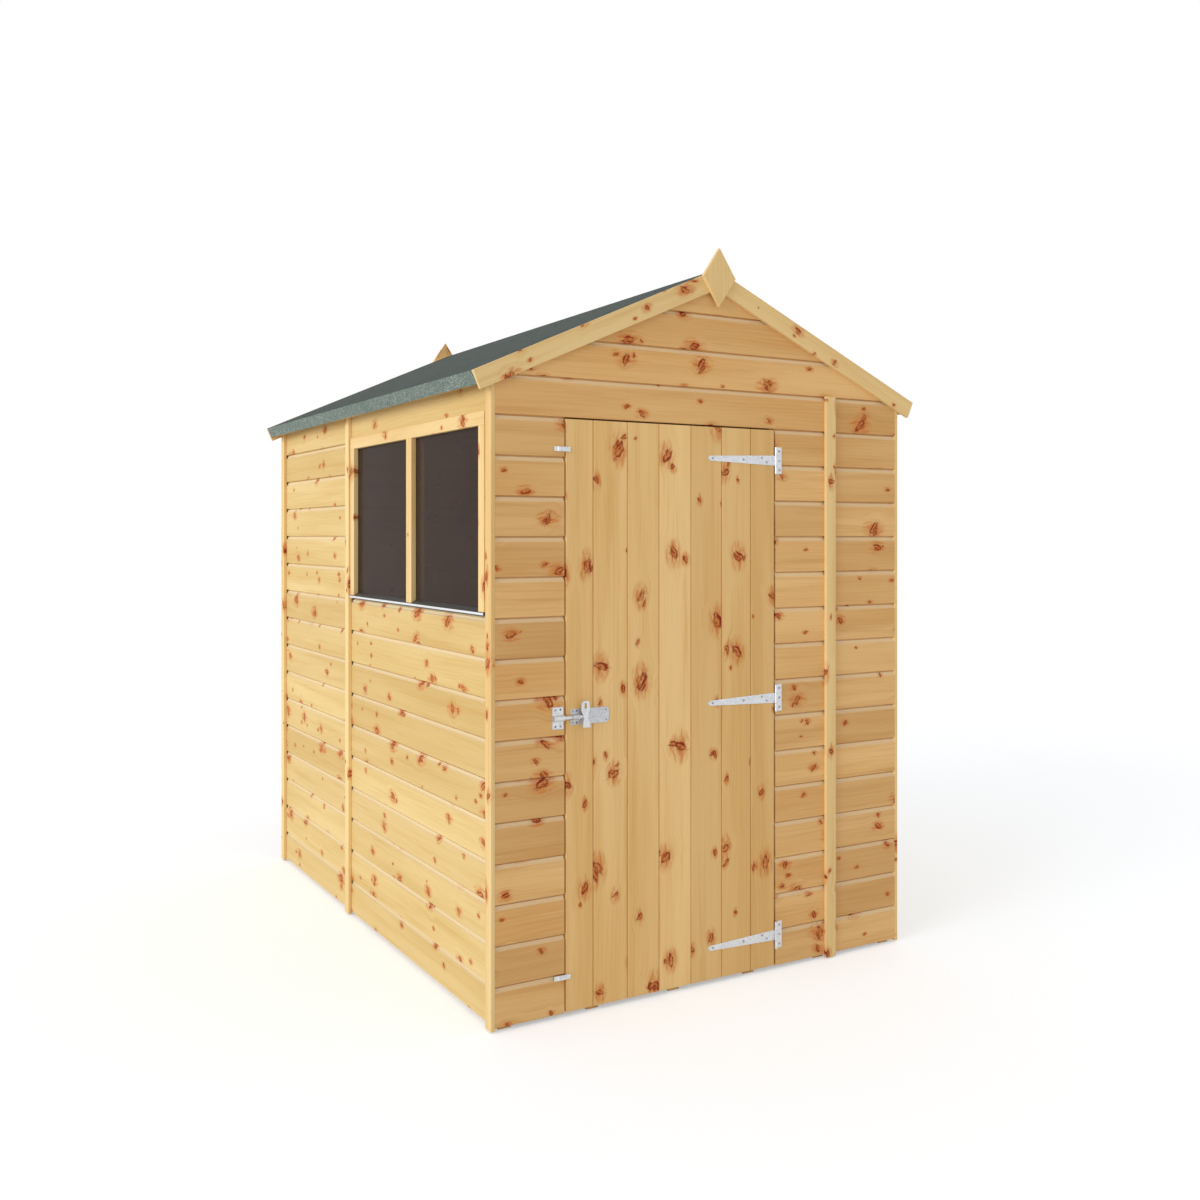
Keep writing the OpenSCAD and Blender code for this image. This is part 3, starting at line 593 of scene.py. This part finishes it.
def dress_timber(node, look, body="shed", edge=TIMBER_EDGE, along=None):
    """Timber in a node's place, in the material and slot of one name, with grain along each length."""
    seed = random.Random(node)
    whole = bmesh.new()
    layers(whole)
    for part in solids(node):
        bmesh.ops.recalc_face_normals(part, faces=part.faces[:])
        length, across, depth = directions(part)
        if along is not None:
            length, across = along, depth.cross(along)
        low, high = box_of(part)
        round_edges(part, edge)
        stamp(part, (low + high) / 2, length, across, depth, seed.uniform(0.45, 1.0), seed)
        merge(whole, part)
    finish_piece(node.replace("_", "-"), whole, [look], body, [node])


def metal_mesh(node):
    """A node's solids with their edges rounded off."""
    whole = bmesh.new()
    for part in solids(node):
        bmesh.ops.recalc_face_normals(part, faces=part.faces[:])
        round_edges(part, METAL_EDGE)
        merge(whole, part)
    return whole


def dress_metal(node, body, look="galvanised"):
    """A fitting in a node's place, in the material and slot of one name."""
    finish_piece(node.replace("_", "-"), metal_mesh(node), [look], body, [node])


# Front of the hinge and bolt plates
PLATE_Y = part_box("door_boards")[0][1] - PLATE_T

# Shiplap section as (outward, upward): an eased foot, a flat face, the scoop and a thin top edge
QUARTER = [math.radians(a) for a in range(0, 91, 15)]
SCOOP = [(CLAD_T - 0.006 * math.sin(a), 0.0955 + 0.010 * (1 - math.cos(a))) for a in QUARTER]
BOARD = ([(0.0, 0.0), (0.0108, 0.0), (CLAD_T, 0.0010), (CLAD_T, 0.0940)] + SCOOP
         + [(0.0020, 0.1055), (0.0020, BOARD_PITCH), (0.0, BOARD_PITCH)])
# Heights on a board between which the scoop takes a painted highlight
SCOOP_HIGHLIGHT_BAND = (0.095, 0.106)


def prism(profile, start, length, along, out, up):
    """A profile given as (outward, upward), carried along a direction."""
    bm = bmesh.new()
    ends = []
    for u in (0.0, length):
        ends.append([bm.verts.new(start + along * u + out * o + up * z) for o, z in profile])
    count = len(profile)
    for i in range(count):
        j = (i + 1) % count
        bm.faces.new((ends[0][i], ends[0][j], ends[1][j], ends[1][i]))
    bm.faces.new(ends[0])
    bm.faces.new(ends[1][::-1])
    bmesh.ops.recalc_face_normals(bm, faces=bm.faces[:])
    return bm


# Each wall's direction along, its outward direction and its frame's distance from the middle
WALLS = {
    "front": (X, -Y, FRAME_Y),
    "back": (-X, Y, FRAME_Y),
    "left": (-Y, -X, FRAME_X),
    "right": (Y, X, FRAME_X),
}
BOARD_LOOK = {"front": "cladding", "back": "cladding", "left": "side_cladding",
              "right": "side_cladding"}
CLAD_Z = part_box("front_cladding")[0][2]
APEX_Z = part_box("gable_cladding")[1][2]


def shiplap(bm, wall, a0, a1, z0, z1, seed, planes=()):
    """Boards on a wall between two places along it and two heights."""
    along, out, face = WALLS[wall]
    plane = out * face
    first = math.floor((z0 - CLAD_Z + SLIVER) / BOARD_PITCH)
    low, high = sorted((a0, a1))
    sign = along.x + along.y
    start = (low if sign > 0 else high) * sign
    for k in range(first, MOST_COURSES):
        z = CLAD_Z + k * BOARD_PITCH
        if z > z1 - SLIVER:
            break
        tone = seed.random()
        board = prism(BOARD, plane + along * start + Z * z, high - low, along, out, Z)
        stamp(board, plane + along * start + Z * z, along, Z, out, tone, seed)
        # Marks the scoop's band for its painted highlight
        scoop_highlight_layer = layers(board)[2]
        for vert in board.verts:
            vert[scoop_highlight_layer] = 1.0 if SCOOP_HIGHLIGHT_BAND[0] < vert.co.z - z < SCOOP_HIGHLIGHT_BAND[1] else 0.0
        if z < z0 - SLIVER:
            cut(board, Z * z0, -Z)
        if z + BOARD_PITCH > z1 + SLIVER:
            cut(board, Z * z1, Z)
        for point, normal in planes:
            if board.verts:
                cut(board, point, normal)
        if board.faces:
            merge(bm, board)
        else:
            board.free()


def clad_node(node, wall, hole=None, gable=False):
    """Shiplap in the place of a cladding node's solids, round a hole or under the roof's slopes."""
    seed = random.Random(node)
    bm = bmesh.new()
    layers(bm)
    axis = 0 if wall in ("front", "back") else 1
    planes = ()
    if gable:
        lean = Vector((math.sin(ROOF_PITCH), 0, math.cos(ROOF_PITCH)))
        planes = ((Z * APEX_Z, lean), (Z * APEX_Z, Vector((-lean.x, 0, lean.z))))
    for part in solids(node):
        low, high = box_of(part)
        part.free()
        if gable and (wall == "front") != (low.y < 0):
            continue
        panels = [(low[axis], high[axis], low.z, high.z)]
        if hole:
            a0, a1, z0, z1 = hole
            panels = [(low[axis], high[axis], low.z, z0), (low[axis], a0, z0, z1),
                      (a1, high[axis], z0, z1), (low[axis], high[axis], z1, high.z)]
        for a0, a1, z0, z1 in panels:
            shiplap(bm, wall, a0, a1, z0, z1, seed, planes)
    return bm


def cladding():
    """Every wall's boards."""
    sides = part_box("window_uprights")
    hole = (sides[0][1], sides[1][1], CLAD_Z + WINDOW_COURSE * BOARD_PITCH, WINDOW_TOP)
    plain = {"front_cladding": "front", "front_lintel_cladding": "front", "back_cladding": "back",
             "left_rear_cladding": "left", "right_cladding": "right"}
    for node, wall in plain.items():
        boards = clad_node(node, wall)
        finish_piece(node.replace("_", "-"), boards, [BOARD_LOOK[wall]], "shed", [node])
    boards = clad_node("left_front_cladding", "left", hole=hole)
    finish_piece("left-front-cladding", boards, [BOARD_LOOK["left"]], "shed", ["left_front_cladding"])
    gables = clad_node("gable_cladding", "front", gable=True)
    merge(gables, clad_node("gable_cladding", "back", gable=True))
    finish_piece("gable-cladding", gables, ["cladding"], "shed", ["gable_cladding"])


def door_leaf():
    """Seven matched boards with V-jointed edges."""
    seed = random.Random("door")
    low, high = (Vector(corner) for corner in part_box("door_boards"))
    edges = [low.x, *DOOR_EDGES, high.x]
    bm = bmesh.new()
    layers(bm)
    vee, gap, deep = DOOR_VEE
    for left, right, tone in zip(edges, edges[1:], DOOR_TONES):
        width = right - left
        g0 = 0.0 if left == low.x else gap
        g1 = 0.0 if right == high.x else gap
        depth = high.y - low.y
        profile = [(depth, g0), (depth, width - g1), (deep, width - g1), (0.0, width - vee),
                   (0.0, vee), (deep, g0)]
        start = Vector((left, low.y, low.z))
        board = prism(profile, start, high.z - low.z, Z, Y, X)
        stamp(board, start, Z, X, Y, tone, seed)
        merge(bm, board)
    finish_piece("door-boards", bm, ["door"], "door", ["door_boards"])


def timber():
    """Frames, strips, bargeboards, finials and the back of the door."""
    for node in ("front_studs", "front_rails", "back_studs", "back_rails", "left_studs", "left_rails",
                 "right_studs", "right_rails", "gable_rafters", "floor_bearers", "roof_purlins",
                 "eaves_rails"):
        dress_timber(node, "framing")
    for node in ("door_stops", "corner_strips", "gable_cover_strips", "side_cover_strips",
                 "window_head_strip", "window_uprights", "left_bargeboards", "right_bargeboards"):
        dress_timber(node, "trim")
    dress_timber("finials", "trim", along=Z)
    dress_timber("door_ledges", "framing", body="door")
    dress_timber("door_braces", "framing", body="door")


def steady(bm):
    """Puts points and faces in an order that doesn't depend on how they were cut."""
    for items, spot in ((bm.verts, lambda v: v.co), (bm.faces, lambda f: f.calc_center_median())):
        ranked = sorted(items, key=lambda item: tuple(round(c, 5) for c in spot(item)))
        rank = {item: place for place, item in enumerate(ranked)}
        items.sort(key=lambda item: rank[item])


def roof_felts():
    """Felt sheets that turn down at the eaves to a hem that waves softly, with painted light on the
    turned-down faces.
    """
    for node in ("left_roof_felt", "right_roof_felt"):
        part = solids(node)[0]
        seed = random.Random(node)
        bmesh.ops.recalc_face_normals(part, faces=part.faces[:])
        low, high = box_of(part)
        round_edges(part, FELT_EDGE)
        count = int((high.y - low.y) / FELT_STEP)
        for k in range(1, count):
            y = low.y + (high.y - low.y) * k / count
            geometry = part.verts[:] + part.edges[:] + part.faces[:]
            bmesh.ops.bisect_plane(part, geom=geometry, dist=1e-6, plane_co=Y * y, plane_no=Y)
        steady(part)
        for face in part.faces:
            # Faces that turn to the side take the paler felt, painted light
            face.material_index = 1 if abs(face.normal.x) > 0.8 else 0
        waves = [(seed.uniform(3, 9), seed.uniform(0, 6)) for _ in range(4)]
        for vert in part.verts:
            inside = min(vert.co.y - low.y, high.y - vert.co.y)
            if vert.co.z < low.z + FELT_HEM and inside > FELT_PLAIN:
                wave = sum(math.sin(f * vert.co.y + p) for f, p in waves) / len(waves)
                vert.co.z += FELT_WAVE * (1 + wave)
        looks = ["roof_felt", "felt_drop_painted_light"]
        finish_piece(node.replace("_", "-"), part, looks, "shed", [node])


def sheets():
    """Roof boards and floor."""
    for node in ("left_roof_board", "right_roof_board", "floor_deck"):
        dress_timber(node, "sheet_board", edge=SHEET_EDGE)


def sill():
    """Dark sloping flashing with a folded nose that takes a painted highlight."""
    whole = bmesh.new()
    for part in solids("window_sill"):
        bmesh.ops.recalc_face_normals(part, faces=part.faces[:])
        outer = box_of(part)[0].x
        round_edges(part, SHEET_EDGE)
        for face in part.faces:
            # The outer edge takes the near-white metal, a painted highlight
            face.material_index = 1 if face.calc_center_median().x < outer + NOSE else 0
        merge(whole, part)
    finish_piece("window-sill", whole, ["sill", "nose"], "shed", ["window_sill"])


def skin(bm, rows):
    """Faces between rings of points, closed at both ends. Gives the last ring's face."""
    count = len(rows[0])
    for low, high in zip(rows, rows[1:]):
        for i in range(count):
            j = (i + 1) % count
            bm.faces.new((low[i], low[j], high[j], high[i]))
    top = bm.faces.new(rows[-1])
    bm.faces.new(rows[0][::-1])
    return top


def circle(count):
    """Angles evenly round a turn."""
    return [math.tau * i / count for i in range(count)]


def screw_head(bm, centre, radius, height, turn):
    """A domed screw head with a cross recess, facing the front."""
    side = (-Y).orthogonal().normalized()
    up = (-Y).cross(side)
    # The cross's half width and the length of its arms, and angles that meet its corners
    width, arm = 0.18 * radius, 0.6 * radius
    corner = math.degrees(math.atan2(width, arm))
    angles = [math.radians(90 * q + a) for q in range(4) for a in (-corner, 0, corner, 29, 45, 61)]

    def cross(angle):
        a = abs((angle + math.pi / 4) % (math.pi / 2) - math.pi / 4)
        return arm / math.cos(a) if a <= math.radians(corner) + 1e-6 else width / math.sin(a)
    rings = [(lambda a: radius, 0.0), (lambda a: radius * 0.97, height * 0.45),
             (lambda a: radius * 0.82, height * 0.85), (lambda a: radius * 0.66, height),
             (cross, height), (lambda a: 0.86 * cross(a), height - 0.5 * radius)]
    rows = []
    for reach, rise in rings:
        level = centre - Y * rise
        spokes = [side * math.cos(a + turn) + up * math.sin(a + turn) for a in angles]
        rows.append([bm.verts.new(level + spoke * reach(a)) for a, spoke in zip(angles, spokes)])
    # The recess floor takes the painted shade of the holes
    skin(bm, rows).material_index = 1


def eyelet(bm, centre, radius):
    """An empty screw hole that faces the front: a rolled rim round a well in painted shade."""
    side = (-Y).orthogonal().normalized()
    up = (-Y).cross(side)
    rows = []
    for reach, rise in HOLE_RINGS:
        level = centre - Y * rise
        rows.append([bm.verts.new(level + (side * math.cos(a) + up * math.sin(a)) * radius * reach)
                     for a in circle(20)])
    skin(bm, rows).material_index = 1


def fixing(bm, spot, kind, seed):
    """A screw or an empty hole of the bolt."""
    if kind == "screw":
        screw_head(bm, spot, *BOLT_SCREW, seed.uniform(0, 3))
    else:
        eyelet(bm, spot, HOLE_R)


def screws():
    """Screw heads and empty holes of the hinges and the bolt."""
    seed = random.Random("screws")
    pin_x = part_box("hinge_straps")[1][0] - PIN_INSET
    on_door = bmesh.new()
    on_wall = bmesh.new()
    for strap in solids("hinge_straps"):
        low, high = box_of(strap)
        strap.free()
        z = (low.z + high.z) / 2
        for bm, places in ((on_door, STRAP_SCREWS), (on_wall, FLAP_SCREWS)):
            for dx, dz in places:
                screw_head(bm, Vector((pin_x + dx, PLATE_Y, z + dz)), *HINGE_SCREW, seed.uniform(0, 3))
    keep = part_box("bolt_keep")
    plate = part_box("bolt_plate")
    mid = (keep[0][2] + keep[1][2]) / 2
    for bm, x, fixings in ((on_wall, keep[0][0], KEEP_FIXINGS),
                           (on_door, plate[1][0], PLATE_RIGHT_FIXINGS),
                           (on_door, plate[0][0], PLATE_LEFT_FIXINGS)):
        for dx, dz, kind in fixings:
            fixing(bm, Vector((x + dx, PLATE_Y, mid + dz)), kind, seed)
    finish_piece("door-screws", on_door, ["screw", "hole"], "door", [])
    finish_piece("wall-screws", on_wall, ["screw", "hole"], "shed", [])


def flare(bm, x0, x1, mid):
    """Pressed feet that run out from a rod guide's legs on to its plate."""
    for side in (1, -1):
        profile = [(FLARE_H * (1 - math.sin(a)), side * (FLARE_Z + FLARE_RUN * (1 - math.cos(a))))
                   for a in QUARTER]
        profile += [(0.0, side * FLARE_ROOT), (FLARE_H, side * FLARE_ROOT)]
        start = Vector((x0, PLATE_Y, mid))
        merge(bm, prism(profile, start, x1 - x0, X, -Y, Z))


def dimple(bm, centre, long, tall):
    """A pressed oval in the plate: a raised rim round a sunken middle."""
    rows = []
    for r, h in DIMPLE_RINGS:
        rows.append([bm.verts.new(centre + Vector((long * r * math.cos(a), -h, tall * r * math.sin(a))))
                     for a in circle(28)])
    skin(bm, rows)


def rivet(bm, centre, radius, height):
    """A domed rivet head that faces the front."""
    rows = []
    for lift in QUARTER[:-1]:
        r, h = radius * math.cos(lift), height * math.sin(lift)
        rows.append([bm.verts.new(centre + Vector((r * math.cos(a), -h, r * math.sin(a))))
                     for a in circle(24)])
    skin(bm, rows)


def bolt_set():
    """The sliding bolt: keep, plate, rod and handle, with their pressed shapes."""
    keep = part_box("bolt_keep")
    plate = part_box("bolt_plate")
    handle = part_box("bolt_handle")
    mid = (keep[0][2] + keep[1][2]) / 2
    holder = metal_mesh("bolt_keep")
    flare(holder, keep[0][0] + KEEP_FLARE, keep[1][0] - KEEP_FLARE, mid)
    finish_piece("bolt-keep", holder, ["galvanised"], "shed", ["bolt_keep"])
    board = metal_mesh("bolt_plate")
    flare(board, plate[0][0] + PLATE_FLARE[0], plate[0][0] + PLATE_FLARE[1], mid)
    inset, long, tall = DIMPLE
    dimple(board, Vector((plate[1][0] - inset, PLATE_Y, mid)), long, tall)
    # The plate's darker zinc is painted shade
    finish_piece("bolt-plate", board, ["plate"], "door", ["bolt_plate"])
    grip = metal_mesh("bolt_handle")
    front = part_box("bolt_rod")[0][1] - HANDLE_T
    rivet(grip, Vector(((handle[0][0] + handle[1][0]) / 2, front, mid)), *RIVET)
    finish_piece("bolt-handle", grip, ["galvanised"], "bolt", ["bolt_handle"])
    dress_metal("bolt_rod", "bolt")


def fittings():
    """Hinges, turn buttons, bolt, sill and panes."""
    for node, body in (("hinge_flaps", "shed"), ("button_screws", "shed"), ("hinge_straps", "door"),
                       ("turn_button_lower", "turn_button_lower"),
                       ("turn_button_upper", "turn_button_upper")):
        dress_metal(node, body)
    bolt_set()
    sill()
    dress_metal("window_panes", "shed", "glazing")


def sky(scene):
    """Even light on the object from a sky that the camera, metal and glass see as white."""
    world = bpy.data.worlds.new("studio")
    world.use_nodes = True
    tree = world.node_tree
    back = tree.nodes["Background"]
    tint = tree.nodes.new("ShaderNodeMix")
    tint.data_type = "RGBA"
    tint.inputs[6].default_value = SKY_TINT
    tint.inputs[7].default_value = (1, 1, 1, 1)
    tree.links.new(tint.outputs[2], back.inputs["Color"])
    path = tree.nodes.new("ShaderNodeLightPath")
    level = tree.nodes.new("ShaderNodeMapRange")
    level.inputs[3].default_value = SKY
    level.inputs[4].default_value = 1.0
    shown = path.outputs["Is Camera Ray"]
    for ray in ("Is Glossy Ray", "Is Transmission Ray"):
        either = tree.nodes.new("ShaderNodeMath")
        either.operation = "MAXIMUM"
        tree.links.new(shown, either.inputs[0])
        tree.links.new(path.outputs[ray], either.inputs[1])
        shown = either.outputs[0]
    tree.links.new(shown, level.inputs[0])
    tree.links.new(shown, tint.inputs[0])
    tree.links.new(level.outputs[0], back.inputs["Strength"])
    scene.world = world


def lamp(scene):
    """One broad sun, low on the left."""
    sun = bpy.data.lights.new("key", "SUN")
    sun.energy = SUN
    sun.angle = SUN_SOFT
    key = bpy.data.objects.new("key", sun)
    key.rotation_euler = SUN_FROM.to_track_quat("Z", "Y").to_euler()
    scene.collection.objects.link(key)


def ground(scene):
    """Pale floor that keeps the object's shadow and fades into the white behind it."""
    bm = bmesh.new()
    bmesh.ops.create_grid(bm, x_segments=8, y_segments=8, size=FLOOR_HALF)
    mesh = bpy.data.meshes.new("floor")
    bm.to_mesh(mesh)
    bm.free()
    n = Nodes("floor_pale")
    ray = n.add("LightPath").outputs
    mirrored = n.math("MAXIMUM", ray["Is Glossy Ray"], ray["Is Transmission Ray"])
    seen = n.math("MAXIMUM", ray["Is Camera Ray"], mirrored)
    n.set(Base_Color=FLOOR_PALE, Roughness=0.9, Specular_IOR_Level=0.1, Emission_Color=FLOOR_GLOW,
          Emission_Strength=n.math("MULTIPLY", seen, FLOOR_GLOW_STRENGTH))
    spot = n.add("TexCoord").outputs["Object"]
    fade = n.span(n.vector("LENGTH", spot), *FLOOR_FADE)
    clear = n.add("BsdfTransparent")
    blend = n.add("MixShader", {0: fade, 1: n.shader.outputs[0], 2: clear.outputs[0]})
    n.tree.links.new(blend.outputs[0], n.tree.nodes["Material Output"].inputs["Surface"])
    mesh.materials.append(n.material)
    floor = bpy.data.objects.new("floor", mesh)
    floor.location.z = -FLOOR_DROP
    scene.collection.objects.link(floor)


def camera(scene):
    """The photograph's level view of the door and the left wall."""
    view = bpy.data.cameras.new("camera")
    view.sensor_fit = "HORIZONTAL"
    view.sensor_width = SENSOR
    view.lens = LENS
    view.shift_y = SHIFT_Y
    eye = bpy.data.objects.new("camera", view)
    eye.location = CAMERA_PLACE
    eye.rotation_euler = (math.radians(90), 0, CAMERA_TURN)
    scene.collection.objects.link(eye)
    scene.camera = eye


def studio():
    """Plain white surroundings, light, floor and camera."""
    scene = bpy.context.scene
    scene.view_settings.view_transform = "Standard"
    sky(scene)
    lamp(scene)
    ground(scene)
    camera(scene)


studio()
cladding()
door_leaf()
timber()
roof_felts()
sheets()
fittings()
screws()
